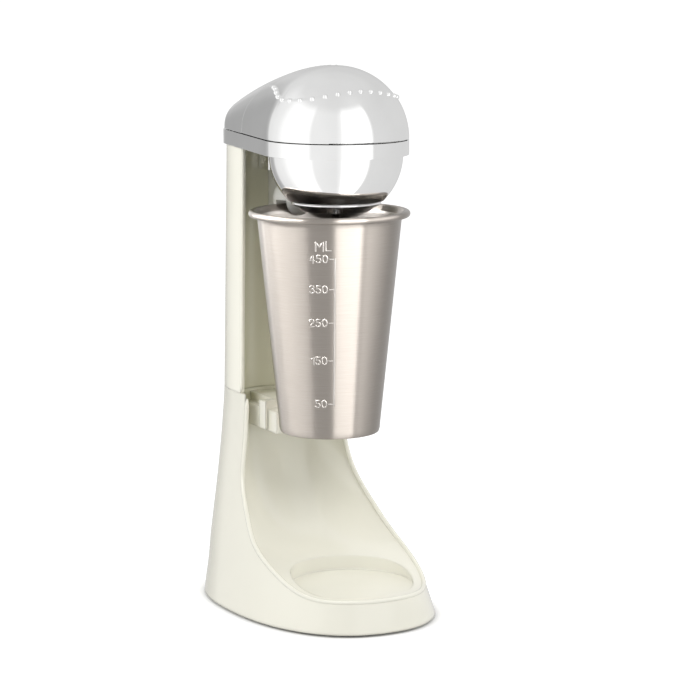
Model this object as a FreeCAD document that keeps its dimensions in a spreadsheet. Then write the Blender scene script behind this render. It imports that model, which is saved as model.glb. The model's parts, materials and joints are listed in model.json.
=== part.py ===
"""Milkshake mixer: a moulded stand with a column, a chromed head that holds the motor and a steel cup.

Row frame: +Z up, -Y is the front (the cup's side), +Y the back (the column's side), the table is z = 0.
Sub-parts are drawn about the spindle's axis and moved to it by spindle_y. All sizes are millimetres.
"""
import FreeCAD, Part
import math
import os
import re
import Sketcher
from FreeCAD import Vector

DRIVING_SIZES = {
    # places
    "spindle_y": -34.2, "cup_axis_y": 9, "tray_axis_y": -21,
    # stand
    "skirt_low": 1.5, "stand_wall": 2.4, "stand_top": 130.4, "plate_thick": 3, "plate_gap": 0.3,
    "tray_radius": 38.4, "tray_floor": 21, "foot_radius": 7, "foot_thick": 3, "screw_radius": 1.45,
    "screw_head_radius": 3, "hole_play": 0.05, "boss_radius": 4.5,
    "ballast_long": 70, "ballast_wide": 60, "ballast_thick": 6,
    # column
    "column_top": 287.8, "column_wall": 2.2, "column_split": 93, "channel_depth": 14, "channel_power": 6,
    "rib_inset": 1.2, "column_screw_half": 15,
    # cup rest
    "rest_half": 28.5, "rest_stem_half": 20, "rest_front": 40, "rest_deep": 12, "rest_low": 110.6,
    "rest_high": 128.5, "rest_cradle": 44,
    "ledge_half": 26, "ledge_top": 123, "ledge_low": 109.5, "shelf_top": 113.4, "shelf_half": 20,
    "shelf_front": 24,
    # head
    "head_radius": 45, "head_taper": 9.4, "arm_end": 117.5, "arm_round": 18, "seam_height": 297.5,
    "seam_gap": 0.6, "head_wall": 2, "neck_half": 13, "neck_front": 69, "neck_back": 83.5, "neck_low": 272.5,
    "stud_radius": 1.6, "bowl_radius": 41.4, "bowl_centre": 288.5, "bowl_low": 259, "bowl_wall": 1.6,
    "ring_radius": 27.4, "cap_low": 247.5, "cap_hole": 9,
    # cup guide
    "guide_y": 60, "guide_z": 255, "guide_half": 12.4, "guide_long": 15,
    "slot_inner": 42.6, "slot_outer": 52.6,
    "slot_top": 254.7, "pin_radius": 2, "pin_y": 57.2, "pin_low": 252.9, "pin_top": 294.2,
    # motor
    "can_radius": 24, "can_low": 268, "can_high": 308, "can_wall": 1.2, "shaft_radius": 2.5,
    "shaft_play": 0.05,
    "shaft_low": 250, "shaft_high": 325, "armature_radius": 17.5, "bracket_low": 293.8, "bracket_high": 296,
    "grommet_circle": 33, "grommet_radius": 4,
    # working parts
    "rod_radius": 3, "rod_low": 139, "coupling_radius": 6, "coupling_low": 244.5, "coupling_high": 262,
    "agitator_radius": 12, "agitator_low": 138,
    # cup
    "cup_low": 113.5, "cup_foot": 31.4, "cup_wall": 0.8, "cup_neck": 44.9, "cup_neck_height": 247.5,
    "cup_rim": 48.2, "cup_rim_height": 250.5, "cup_bead": 2, "cup_raise": 6,
    # switch and cord
    "switch_height": 250, "rocker_half_wide": 5.5, "rocker_half_tall": 9, "cord_radius": 3, "cord_height": 16,
}

# Outer skin of the stand: height, half width, place of the widest point, reach to the front, reach to
# the back, roundness of the corners.
STAND_SECTIONS = [
    (1.5, 63.5, 31, 101, 85.5, 2.3),
    (11, 60.5, 36, 104.5, 80.5, 2.32),
    (20, 57.5, 41, 108, 75.5, 2.35),
    (32, 53.8, 48.3, 110.3, 68.4, 2.42),
    (45, 50, 54, 104, 63, 2.5),
    (60, 45.5, 60.5, 90.5, 56.7, 2.6),
    (75, 41.5, 66, 71, 51.5, 2.7),
    (90, 38.3, 69.5, 49.5, 48.5, 2.78),
    (105, 36.2, 70.8, 33, 47.4, 2.8),
    (118, 35, 70.9, 25, 47.1, 2.8),
    (130.4, 34.2, 70.8, 20, 47, 2.8),
]
COLUMN_TOP_SECTION = (287.8, 32.5, 70.3, 20, 43.5, 2.8)

# Scoop of the stand, from the front lip up to the column's channel: centre line (y, z), half width at
# the rim, rim (y, z), and how late the section curls up towards the rim.
SCOOP_SECTIONS = [
    (-95, 20.4, 60, -95, 20.4, 2.5),
    (-62, 20.9, 56, -62, 20.7, 2.5),
    (-40, 21.8, 52, -40, 22.6, 2.5),
    (-20, 23.6, 50, -20, 29, 2.5),
    (0, 26.6, 50, 0, 36, 2.5),
    (22, 32, 50, 20, 46, 2.6),
    (42, 41, 46, 37, 60, 2.8),
    (59, 55, 42, 50, 72, 3.2),
    (73, 76, 38.2, 58, 86, 4),
    (81, 103, 35.2, 60.5, 106, 5),
    (84.8, 130.4, 33, 62.2, 130.4, 6),
    (84.8, 150, 33, 62.2, 150, 6),
]
SCOOP_REACH = 1.25
SCOOP_STEPS = 12

doc = FreeCAD.newDocument("milkshake_mixer")
sheet = doc.addObject("Spreadsheet::Sheet", "Sizes")
subparts = []


def fill_sheet():
    """Write each driving size into the sheet, under its own word."""
    for row, (word, number) in enumerate(DRIVING_SIZES.items(), start=1):
        sheet.set(f"A{row}", word)
        sheet.set(f"B{row}", str(number))
        sheet.setAlias(f"B{row}", word)
    doc.recompute()


def sized(text):
    """An expression in the sheet's words, as the document's objects need it."""
    return re.sub(r"[a-z][a-z_]+", lambda word: "Sizes." + word.group(0), text)


def size(text):
    """The number that an expression in the sheet's words comes to."""
    return float(sheet.evalExpression(sized(text)))


def keep(item, label):
    """Take an object as a finished sub-part: name it and move it to the spindle."""
    item.Label = label
    item.setExpression("Placement.Base.y", sized("spindle_y"))
    subparts.append(item)
    return item


def bind(item, **sizes):
    """Bind an object's properties to expressions in the sheet's words."""
    for name, text in sizes.items():
        item.setExpression(name.replace("__", "."), sized(text))
    return item


def primitive(kind, name, across="0", along="0", up="0", **sizes):
    """A Part primitive whose place and sizes come from the sheet."""
    item = doc.addObject("Part::" + kind, name)
    bind(item, Placement__Base__x=across, Placement__Base__y=along, Placement__Base__z=up, **sizes)
    return item


def box(name, low, high):
    """A box between two corners given as expressions."""
    spans = [f"({top}) - ({bottom})" for bottom, top in zip(low, high)]
    return primitive("Box", name, *low, Length=spans[0], Width=spans[1], Height=spans[2])


def round_bar(name, across, along, low, high, radius):
    """An upright cylinder between two heights."""
    return primitive("Cylinder", name, across, along, low, Radius=radius, Height=f"({high}) - ({low})")


def boolean(kind, name, base, tools):
    """Base with each tool cut away (Cut), added (Fuse) or kept in common (Common), one after another."""
    for index, tool in enumerate(tools):
        step = doc.addObject("Part::" + kind, f"{name}_{kind.lower()}{index}")
        step.Base = base
        step.Tool = tool
        base = step
    return base


def profile(body, name, role, corners, offset="0"):
    """Closed sketch on one of the body's planes. A corner is (across, up); three more words,
    (through across, through up, radius), bend the edge that leaves it into an arc."""
    sketch = body.newObject("Sketcher::SketchObject", name)
    plane = [item for item in body.Origin.OriginFeatures if item.Role == role][0]
    sketch.AttachmentSupport = (plane, "")
    sketch.MapMode = "FlatFace"
    sketch.setExpression("AttachmentOffset.Base.z", sized(offset))
    points = [Vector(size(corner[0]), size(corner[1]), 0) for corner in corners]
    starts = []
    for index, corner in enumerate(corners):
        start = points[index]
        end = points[(index + 1) % len(points)]
        if len(corner) == 5:
            through = Vector(size(corner[2]), size(corner[3]), 0)
            sketch.addGeometry(Part.Arc(start, through, end), False)
        else:
            sketch.addGeometry(Part.LineSegment(start, end), False)
        starts.append(1 if sketch.getPoint(index, 1).distanceToPoint(start) < 1e-6 else 2)
    for index, corner in enumerate(corners):
        after = (index + 1) % len(corners)
        link = Sketcher.Constraint("Coincident", index, 3 - starts[index], after, starts[after])
        sketch.addConstraint(link)
    for index, corner in enumerate(corners):
        pin_point(sketch, index, starts[index], corner[0], corner[1])
        if len(corner) == 5:
            bound = sketch.addConstraint(Sketcher.Constraint("Radius", index, size(corner[4])))
            sketch.setExpression(f"Constraints[{bound}]", sized(corner[4]))
    return sketch


def pin_point(sketch, index, end, across, up):
    """Hold one point of a sketch at a place worked out from the sheet."""
    for kind, axis, text in (("DistanceX", -2, across), ("DistanceY", -1, up)):
        if text == "0":
            sketch.addConstraint(Sketcher.Constraint("PointOnObject", index, end, axis))
        else:
            bound = sketch.addConstraint(Sketcher.Constraint(kind, -1, 1, index, end, size(text)))
            sketch.setExpression(f"Constraints[{bound}]", sized(text))


def turned(label, corners, along="0"):
    """A sub-part turned about an upright axis that stands at a distance behind the spindle."""
    body = doc.addObject("PartDesign::Body", label)
    sketch = profile(body, label + "_profile", "XZ_Plane", corners)
    turn = body.newObject("PartDesign::Revolution", label + "_turn")
    turn.Profile = sketch
    turn.ReferenceAxis = (sketch, ["V_Axis"])
    turn.Angle = 360
    keep(body, label)
    body.setExpression("Placement.Base.y", sized(f"spindle_y + {along}"))
    return body


def padded(label, role, corners, low, high):
    """A sub-part padded from a closed sketch between two offsets from one of its planes."""
    body = doc.addObject("PartDesign::Body", label)
    sketch = profile(body, label + "_profile", role, corners, low)
    pad = body.newObject("PartDesign::Pad", label + "_pad")
    pad.Profile = sketch
    pad.setExpression("Length", sized(f"({high}) - ({low})"))
    return keep(body, label)


def patterned_blades(body, name, corners, low, high, count):
    """Add one blade to a turned body and repeat it round the axis."""
    sketch = profile(body, name + "_blade_profile", "XY_Plane", corners, low)
    blade = body.newObject("PartDesign::Pad", name + "_blade")
    blade.Profile = sketch
    blade.setExpression("Length", sized(f"({high}) - ({low})"))
    ring = body.newObject("PartDesign::PolarPattern", name + "_ring")
    ring.Originals = [blade]
    ring.Axis = (sketch, ["N_Axis"])
    ring.Angle = 360
    ring.Occurrences = count
    body.Tip = ring
    return body


def modelled(label, shape):
    """A sub-part whose shape is worked out in code, where no feature fits it."""
    item = doc.addObject("Part::Feature", label)
    item.Shape = shape
    return keep(item, label)


def screw(across, along, low, head, length):
    """One pan-head screw that points up from its head; the head's lower face is at low."""
    shank = Part.makeCylinder(size("screw_radius"), length, Vector(across, along, low + head))
    top = Part.makeCylinder(size("screw_head_radius"), head, Vector(across, along, low))
    return top.fuse(shank)


def oval_wire(section, inset=0.0, height=None):
    """Closed curve of one stand section, drawn inwards by the inset."""
    level, half, middle, front, back, power = section
    count = 48
    points = []
    for step in range(count):
        angle = 2 * math.pi * step / count
        reach = (back if math.sin(angle) > 0 else front) - inset
        across = math.copysign(abs(math.cos(angle)) ** (2 / power), math.cos(angle)) * (half - inset)
        along = math.copysign(abs(math.sin(angle)) ** (2 / power), math.sin(angle)) * reach
        points.append(Vector(across, middle + along, level if height is None else height))
    curve = Part.BSplineCurve()
    curve.interpolate(points, PeriodicFlag=True)
    return Part.Wire(curve.toShape())


def scoop_front(sections, shift=0.0):
    """Everything in front of the scoop's surface, which is moved by shift into the stand."""
    rows = []
    for index, (centre_y, centre_z, half, rim_y, rim_z, power) in enumerate(sections):
        before = sections[max(index - 1, 0)]
        after = sections[min(index + 1, len(sections) - 1)]
        run = Vector(0, after[0] - before[0], after[1] - before[1]).normalize()
        move_y = run.z * shift
        move_z = -run.y * shift
        row = []
        for step in range(-SCOOP_STEPS, SCOOP_STEPS + 1):
            side = SCOOP_REACH * step / SCOOP_STEPS
            curl = abs(side) ** power
            along = centre_y + (rim_y - centre_y) * curl + move_y
            up = centre_z + (rim_z - centre_z) * curl + move_z
            row.append(Vector(side * half, along, up))
        rows.append(row)
    surface = Part.BSplineSurface()
    surface.interpolate(rows)
    return surface.toShape().extrude(Vector(0, -160, 160))


def stand_shell():
    """Base housing: a skirt that sweeps up into the column's foot, scooped out at the front, with a
    round tray recess and four screw bosses, open underneath."""
    wall = size("stand_wall")
    outer = Part.makeLoft([oval_wire(section) for section in STAND_SECTIONS], True)
    outer = outer.cut(scoop_front(SCOOP_SECTIONS))
    inner_wires = [oval_wire(section, wall) for section in STAND_SECTIONS[1:-1]]
    inner_wires.insert(0, oval_wire(STAND_SECTIONS[0], wall, 0))
    inner_wires.append(oval_wire(STAND_SECTIONS[-1], wall, size("stand_top") - wall))
    inner = Part.makeLoft(inner_wires, True).cut(scoop_front(SCOOP_SECTIONS, wall))
    tray_y = size("tray_axis_y")
    tray_low = Vector(0, tray_y, size("tray_floor") - wall)
    tray_wall = Part.makeCylinder(size("tray_radius") + wall, 60, tray_low)
    inner = inner.cut(tray_wall)
    for across, along in boss_places():
        foot = Vector(across, along, size("skirt_low + plate_thick"))
        boss = Part.makeCylinder(size("boss_radius"), 15, foot)
        rib_low = across if across > 0 else across - 16
        rib = Part.makeBox(16, 2, 15, Vector(rib_low, along - 1, size("skirt_low + plate_thick")))
        inner = inner.cut(boss.fuse(rib))
    shell = outer.cut(inner)
    tray = Part.makeCylinder(size("tray_radius"), 60, Vector(0, tray_y, size("tray_floor")))
    shell = shell.cut(tray)
    for across, along in boss_places():
        foot = Vector(across, along, size("skirt_low"))
        hole = Part.makeCylinder(size("screw_radius + hole_play"), 13, foot)
        shell = shell.cut(hole)
    cable_hole = Part.makeCylinder(6, 10, Vector(0, 100, size("stand_top") - 5))
    outlet = Vector(0, 105, size("cord_height"))
    cord_hole = Part.makeCylinder(size("cord_radius") + 2.5, 20, outlet, Vector(0, 1, 0))
    return largest(shell.cut(cable_hole).cut(cord_hole))


def boss_places():
    """Where the base plate's screws go."""
    return [(side * across, along) for across, along in ((47, -14), (43, 76)) for side in (-1, 1)]


def foot_places():
    """Where the rubber feet go."""
    return [(side * across, along) for across, along in ((34, -38), (33, 92)) for side in (-1, 1)]


def largest(shape):
    """The biggest solid of a cut, without slivers."""
    return max(shape.Solids, key=lambda solid: solid.Volume)


def make_stand():
    """Base housing, base plate with its screws and feet, and the ballast plate on it."""
    modelled("base_housing", stand_shell())
    low = size("skirt_low")
    thick = size("plate_thick")
    inset = size("stand_wall + plate_gap") + 1.4
    plate = Part.Face(oval_wire(STAND_SECTIONS[0], inset, low)).extrude(Vector(0, 0, thick))
    for across, along in boss_places():
        plate = plate.cut(Part.makeCylinder(size("screw_radius") + 0.3, thick, Vector(across, along, low)))
        plate = plate.cut(Part.makeCylinder(size("screw_head_radius") + 0.3, 1.6, Vector(across, along, low)))
    for across, along in foot_places():
        plate = plate.cut(Part.makeCylinder(size("foot_radius") + 0.1, 1.5, Vector(across, along, low)))
    for slot in range(5):
        vent = Part.makeBox(36, 2.5, thick, Vector(-18, -8 + slot * 6, low))
        plate = plate.cut(vent)
    modelled("base_plate", plate)
    screws = [screw(across, along, low, 1.5, 9) for across, along in boss_places()]
    modelled("base_plate_screws", Part.makeCompound(screws))
    feet = []
    for across, along in foot_places():
        foot = Part.makeCylinder(size("foot_radius"), size("foot_thick"), Vector(across, along, 0))
        feet.append(foot.makeChamfer(0.5, [foot.Edges[2]]))
    modelled("rubber_feet", Part.makeCompound(feet))
    ballast = box(
        "ballast_block",
        ("-ballast_wide / 2", "28", "skirt_low + plate_thick"),
        ("ballast_wide / 2", "28 + ballast_long", "skirt_low + plate_thick + ballast_thick"),
    )
    rounded = doc.addObject("Part::Fillet", "ballast_rounded")
    rounded.Base = ballast
    doc.recompute()
    rounded.Edges = [(number, 3.0, 3.0) for number in (1, 3, 5, 7)]
    keep(rounded, "ballast_plate")


def column_solids():
    """The hollow column with its front channel, split into a front moulding and a rear cover."""
    wall = size("column_wall")
    foot = STAND_SECTIONS[-1]
    outer = Part.makeLoft([oval_wire(foot), oval_wire(COLUMN_TOP_SECTION)], True)
    low = size("stand_top")
    high = size("column_top")
    power = size("channel_power")
    channel = []
    top = COLUMN_TOP_SECTION
    for section, level in ((foot, low - 20), (foot, low), (top, high), (top, high + 20)):
        half, rim_y = rib_edge(section)
        channel.append((section[2] + size("channel_depth"), level, half, rim_y, power))
    outer = largest(outer.cut(channel_front(channel, 0)))
    inner = Part.makeLoft([oval_wire(foot, wall), oval_wire(COLUMN_TOP_SECTION, wall)], True)
    inner = largest(inner.cut(channel_front(channel, wall)))
    tube = outer.cut(inner)
    split = size("column_split")
    front = tube.common(Part.makeBox(100, 100, 300, Vector(-50, split - 100, 0)))
    rear = tube.common(Part.makeBox(100, 100, 300, Vector(-50, split, 0)))
    return front, rear


def rib_edge(section):
    """Half width and place of the front edge of the ribs beside the channel, on one section."""
    _, half, middle, front, _, power = section
    edge = half - size("rib_inset")
    return edge, middle - front * (1 - (edge / half) ** power) ** (1 / power)


def channel_front(sections, shift):
    """Everything in front of the column's channel, which is moved back by shift."""
    rows = []
    for centre_y, level, half, rim_y, power in sections:
        row = []
        for step in range(-SCOOP_STEPS, SCOOP_STEPS + 1):
            side = SCOOP_REACH * step / SCOOP_STEPS
            along = centre_y + (rim_y - centre_y) * abs(side) ** power + shift
            row.append(Vector(side * half, along, level))
        rows.append(row)
    surface = Part.BSplineSurface()
    surface.interpolate(rows)
    return surface.toShape().extrude(Vector(0, -160, 0))


def column_back(across, level):
    """Place of the column's back surface at a width and a height."""
    foot = STAND_SECTIONS[-1]
    share = (level - size("stand_top")) / size("column_top - stand_top")
    half, middle, back = [foot[i] + (COLUMN_TOP_SECTION[i] - foot[i]) * share for i in (1, 2, 4)]
    return middle + back * (1 - (across / half) ** foot[5]) ** (1 / foot[5])


def make_column():
    """Front moulding, rear cover with the switch's surround, and the screws that join them."""
    front, rear = column_solids()
    wall_y = size("column_split")
    level = size("switch_height")
    surround = Part.makeBox(26, 8, 34, Vector(-13, 108, level - 17))
    surround = surround.makeFillet(1.5, [edge for edge in surround.Edges if abs(edge.tangentAt(0).y) > 0.9])
    opening = Part.makeBox(20.4, 20, 26.4, Vector(-10.2, 100, level - 13.2))
    rear = rear.fuse(surround).cut(opening)
    screws = []
    backward = Vector(0, 1, 0)
    head_radius = size("screw_head_radius")
    for height in (150, 215, 275):
        for side in (-1, 1):
            across = side * size("column_screw_half")
            post = Part.makeCylinder(3.6, wall_y - 85.4, Vector(across, 85.4, height), backward)
            bore = size("screw_radius + hole_play")
            hole = Part.makeCylinder(bore, 30, Vector(across, 86.6, height), backward)
            front = front.fuse(post).cut(hole)
            reach = column_back(abs(across) + 4.4, height) - 0.3 - wall_y
            sleeve = Part.makeCylinder(4.4, reach, Vector(across, wall_y, height), backward)
            seat = Vector(across, wall_y + 3, height)
            well = Part.makeCylinder(head_radius + 0.2, 30, seat, backward)
            entry = Vector(across, wall_y - 1, height)
            passage = Part.makeCylinder(size("screw_radius") + 0.2, 10, entry, backward)
            rear = rear.fuse(sleeve).cut(well).cut(passage)
            head = Part.makeCylinder(head_radius, 1.6, seat, backward)
            tip = Vector(across, wall_y - 6, height)
            shank = Part.makeCylinder(size("screw_radius"), 9, tip, backward)
            screws.append(head.fuse(shank))
    modelled("column_front", front.removeSplitter())
    modelled("column_rear", rear.removeSplitter())
    modelled("column_screws", Part.makeCompound(screws))


def make_cup_rest():
    """Bracket that stands out of the scoop, cradles the cup's foot and carries it on a small shelf."""
    half = size("rest_half")
    front = size("rest_front")
    stem = size("rest_stem_half")
    back = front + size("rest_deep")
    outline = [(stem, 100), (stem, back), (half, back), (half, front)]
    outline += [(-across, along) for across, along in reversed(outline)]
    outline.append(outline[0])
    plan = Part.makePolygon([Vector(across, along, size("rest_low")) for across, along in outline])
    frame = Part.Face(plan).extrude(Vector(0, 0, size("rest_high - rest_low")))
    axis = Vector(0, size("cup_axis_y"), 90)
    cradle = Part.makeCylinder(size("rest_cradle"), 60, axis)
    frame = frame.cut(cradle)
    ledge = Part.makeBox(2 * size("ledge_half"), 60, size("ledge_top - ledge_low"),
                         Vector(-size("ledge_half"), size("shelf_front"), size("ledge_low")))
    nest = Part.makeCylinder(size("cup_foot") + 1.6, 60, Vector(0, size("cup_axis_y"), size("shelf_top")))
    lip = size("shelf_front") + 8
    nest = nest.fuse(Part.makeBox(200, 60, 60, Vector(-100, lip - 60, size("shelf_top"))))
    ledge = ledge.cut(nest)
    side_clear = Part.makeBox(100, 60, 20, Vector(size("shelf_half"), -60 + size("rest_front") - 8, 100))
    ledge = ledge.cut(side_clear).cut(side_clear.mirror(Vector(0, 0, 0), Vector(1, 0, 0)))
    bracket = frame.fuse(ledge)
    behind = Part.makeBox(200, 200, 200, Vector(-100, 0, 50)).cut(scoop_front(SCOOP_SECTIONS, -0.02))
    bracket = bracket.cut(behind).removeSplitter()
    solids = sorted(bracket.Solids, key=lambda solid: solid.Volume)
    modelled("cup_rest", solids[-1])


def head_half_width(along):
    """Half width of the head at a distance behind the spindle: a circle, a taper and a rounded end."""
    radius = size("head_radius")
    taper = math.radians(size("head_taper"))
    if along < radius * math.sin(taper):
        return math.sqrt(max(radius * radius - along * along, 0))
    straight = radius / math.cos(taper) - along * math.tan(taper)
    return straight * head_end(along, 2.4)


def head_end(along, power):
    """How much the arm's section has shrunk towards its rounded back end, from 1 down to 0."""
    into = (along - size("arm_end - arm_round")) / size("arm_round")
    if into <= 0:
        return 1.0
    return max(1 - into ** power, 0) ** (1 / power)


def head_rise(along):
    """Height of the head's ridge over the seam."""
    return (size("head_radius") - 7 * (max(along, 0) / 46) ** 1.6) * head_end(along, 2.0)


def head_plan(inset, level):
    """Closed plan outline of the head, drawn inwards by the inset."""
    radius = size("head_radius")
    taper = math.radians(size("head_taper"))
    reach = size("arm_end") - inset
    turn_y = size("arm_end - arm_round")
    right = [Vector((radius - inset) * math.cos(taper), radius * math.sin(taper), level)]
    right.append(Vector(head_half_width(turn_y) - inset, turn_y, level))
    nose = Part.Arc(Vector(-right[0].x, right[0].y, level), Vector(0, inset - radius, level), right[0])
    side = Part.LineSegment(right[0], right[1])
    steps = 8
    end = []
    for step in range(-steps, steps + 1):
        angle = 0.5 * math.pi * step / steps
        across = (right[1].x - 0.6) * math.copysign(abs(math.sin(angle)) ** 0.85, angle)
        end.append(Vector(-across, turn_y + (reach - turn_y) * math.cos(angle) ** 0.85, level))
    end[0] = right[1]
    end[-1] = Vector(-right[1].x, right[1].y, level)
    back = Part.BSplineCurve()
    back.interpolate(end)
    other = Part.LineSegment(end[-1], Vector(-right[0].x, right[0].y, level))
    return Part.Wire([nose.toShape(), side.toShape(), back.toShape(), other.toShape()])


def head_arch(along, inset):
    """Closed upright section of the dome or the arm at a distance behind the spindle."""
    level = size("seam_height")
    if along < 0:
        half = math.sqrt((size("head_radius") - inset) ** 2 - along * along)
        rise = half
    else:
        half = max(head_half_width(along) - inset, 0.6)
        rise = max(head_rise(along) - inset, 0.6)
    power = head_power(along)
    steps = 12
    points = []
    for step in range(steps + 1):
        angle = math.pi * step / steps
        across = math.copysign(abs(math.cos(angle)) ** (2 / power), math.cos(angle)) * half
        up = abs(math.sin(angle)) ** (2 / power) * rise if 0 < step < steps else 0
        points.append(Vector(across, along, level + up))
    arch = Part.BSplineCurve()
    arch.interpolate(points)
    foot = Part.LineSegment(points[-1], points[0])
    return Part.Wire([arch.toShape(), foot.toShape()])


def head_power(along):
    """Roundness of the head's section: round at the dome, squarer towards the back."""
    return 2 + 0.6 * min(max(along, 0) / 90, 1)


def head_normal(place):
    """Outward direction of the head's surface at a place on it."""
    def outside(across, along, up):
        if along < 0:
            return math.hypot(across, along, up) / size("head_radius")
        power = head_power(along)
        return (abs(across) / head_half_width(along)) ** power + (up / head_rise(along)) ** power
    up = place.z - size("seam_height")
    step = 0.01
    slope_x = outside(place.x + step, place.y, up) - outside(place.x - step, place.y, up)
    slope_y = outside(place.x, place.y + step, up) - outside(place.x, place.y - step, up)
    slope_z = outside(place.x, place.y, up + step) - outside(place.x, place.y, up - step)
    return Vector(slope_x, slope_y, slope_z).normalize()


def head_solid(inset):
    """Solid dome and arm above the seam, drawn inwards by the inset."""
    turn_y = size("arm_end - arm_round")
    radius = size("head_radius") - inset
    places = [-radius * math.sin(math.radians(degrees)) for degrees in (87, 79, 70, 60, 50, 40, 30, 20, 10)]
    places += [turn_y * step / 8 for step in range(8)]
    for degrees in (0, 20, 38, 55, 70, 82):
        places.append(turn_y + (size("arm_round") - inset) * math.sin(math.radians(degrees)))
    return Part.makeLoft([head_arch(along, inset) for along in places], True)


def stud_places():
    """Places of the moulded studs on the dome: they dip at the sides and climb onto the arm."""
    radius = size("head_radius")
    seam = size("seam_height")
    side_angle = 80.0
    last_angle = 137.5
    count = 11
    places = []
    for step in range(-count, count + 1):
        bearing = abs(step) * last_angle / count
        if bearing < side_angle:
            phase = bearing * 90 / side_angle
        else:
            phase = 90 + (bearing - side_angle) * 90 / (last_angle - side_angle)
        rise = 27.5 + 3 * math.cos(math.radians(2 * phase))
        flat = math.sqrt(radius * radius - rise * rise)
        turn = math.radians(bearing)
        across = flat * math.sin(turn)
        along = -flat * math.cos(turn)
        if along > 0:
            power = head_power(along)
            arch = (rise / head_rise(along)) ** power
            across = head_half_width(along) * (1 - arch) ** (1 / power)
        places.append(Vector(math.copysign(across, step) if step else 0, along, seam + rise))
    return places


def make_head():
    """Dome and arm cover, its row of studs, the lower shell with its band and neck, and the screws."""
    wall = size("head_wall")
    seam = size("seam_height")
    outer = head_solid(0)
    studs = []
    for place in stud_places():
        out = head_normal(place)
        studs.append(Part.makeSphere(size("stud_radius"), place + out * 0.03, out, 0, 90, 360))
    modelled("head_studs", Part.makeCompound(studs))
    cover = outer.cut(head_solid(wall))
    floor = size("column_top")
    posts = [(18, 98), (-18, 98), (13, 64), (-13, 64)]
    roof_room = head_solid(wall * 0.5)
    for across, along in posts:
        post = Part.makeCylinder(4, 60, Vector(across, along, floor + wall)).common(
            Part.makeBox(200, 200, 100, Vector(-100, 0, floor)))
        roof = roof_room.fuse(Part.makeBox(80, 200, seam - floor, Vector(-40, 0, floor)))
        hole = Part.makeCylinder(size("screw_radius + hole_play"), 12, Vector(across, along, floor))
        cover = cover.fuse(post.common(roof)).cut(hole)
    modelled("head_cover", largest(cover))
    band_high = seam - size("seam_gap")
    band = Part.Face(head_plan(0, floor)).extrude(Vector(0, 0, band_high - floor))
    hollow = Part.Face(head_plan(wall, floor + wall)).extrude(Vector(0, 0, 20))
    neck = Part.makeBox(2 * size("neck_half"), size("neck_back - neck_front"), floor - size("neck_low"),
                        Vector(-size("neck_half"), size("neck_front"), size("neck_low")))
    neck = neck.makeFillet(1.5, [edge for edge in neck.Edges
                                 if abs(edge.tangentAt(0).z) > 0.9 and edge.CenterOfMass.y < 72])
    room = Part.makeBox(2 * (size("neck_half") - wall), size("neck_back - neck_front") - 2 * wall, 40,
                        Vector(wall - size("neck_half"), size("neck_front") + wall, size("neck_low") + wall))
    lower = band.fuse(neck).cut(hollow).cut(room)
    lower = lower.cut(Part.makeCylinder(27, 20, Vector(0, 0, floor - 5)))
    lower = lower.cut(Part.makeCylinder(7, 20, Vector(0, 100, floor - 5)))
    pin_hole = Part.makeCylinder(size("pin_radius + hole_play"), 10, Vector(0, size("pin_y"), floor - 2))
    lower = lower.cut(pin_hole)
    screws = []
    for across, along in posts:
        place = Vector(across, along, floor - 2)
        lower = lower.cut(Part.makeCylinder(size("screw_radius") + 0.2, 10, place))
        screws.append(screw(across, along, floor - 1.6, 1.6, 12))
    modelled("head_lower", lower.removeSplitter())
    modelled("head_screws", Part.makeCompound(screws))


def make_bowl():
    """Motor bowl, the trim ring at its mouth and the splash cap with its seal."""
    outer = primitive("Sphere", "bowl_outer", up="bowl_centre", Radius="bowl_radius")
    inner = primitive("Sphere", "bowl_inner", up="bowl_centre", Radius="bowl_radius - bowl_wall")
    slab = box("bowl_slab", ("-60", "-60", "bowl_low"), ("60", "60", "column_top"))
    shell = boolean("Cut", "bowl_shell", outer, [inner])
    keep(boolean("Common", "bowl_band", shell, [slab]), "motor_bowl")
    turned("bowl_trim_ring", [
        ("ring_radius - 2", "bowl_low - 2.2"), ("ring_radius - 0.4", "bowl_low - 2.2"),
        ("ring_radius + 0.4", "bowl_low - 1.2"), ("ring_radius", "bowl_low - 0.02"),
        ("ring_radius - 2", "bowl_low - 0.02"),
    ])
    turned("splash_cap", [
        ("cap_hole", "cap_low"), ("15.3", "250"), ("22", "253.4"), ("ring_radius - 2.1", "bowl_low - 2.4"),
        ("ring_radius - 2.1", "bowl_low"), ("ring_radius - 2.8", "bowl_low + 1.5"),
        ("ring_radius - 4", "bowl_low + 1.5"), ("ring_radius - 4", "bowl_low - 1"),
        ("21", "255.2"), ("15", "251.8"), ("cap_hole", "249.4"),
    ])
    turned("shaft_seal", [
        ("coupling_radius + 0.1", "cap_low + 0.2"), ("cap_hole - 0.02", "cap_low + 0.2"),
        ("cap_hole - 0.02", "cap_low + 2"), ("coupling_radius + 2.2", "cap_low + 2"),
        ("coupling_radius + 2.2", "cap_low + 6"), ("coupling_radius + 0.1", "cap_low + 6"),
    ])


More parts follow.
